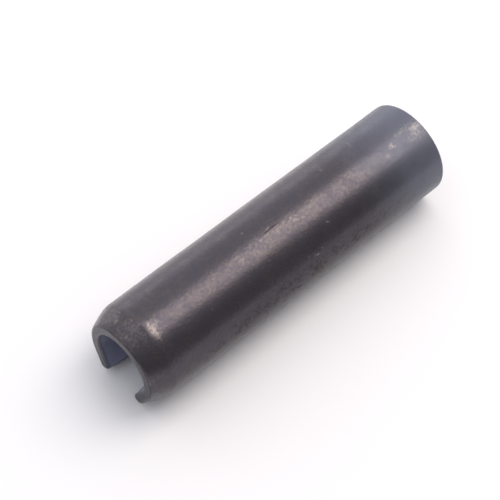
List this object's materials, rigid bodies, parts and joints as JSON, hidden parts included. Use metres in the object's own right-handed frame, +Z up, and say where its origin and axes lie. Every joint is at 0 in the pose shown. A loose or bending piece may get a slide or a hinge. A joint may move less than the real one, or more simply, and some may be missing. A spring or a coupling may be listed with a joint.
{
  "type": "slotted spring pin",
  "caption": "Spring roll pin: a strip of dark spring steel rolled into an open tube with a full-length slot and a crowned lead-in at one end.",
  "frame": {"origin": "on the pin's axis, halfway along its length", "axes": "+X along the axis from the lead-in end to the end that takes the punch, +Z up with the slot facing down"},
  "size_m": [0.04, 0.0106, 0.0101],
  "materials": {
    "blackened_steel": "oil-blackened spring steel, slightly worn and finely pitted"
  },
  "bodies": {
    "root": {"spring_pin": "blackened_steel"}
  },
  "joints": []
}
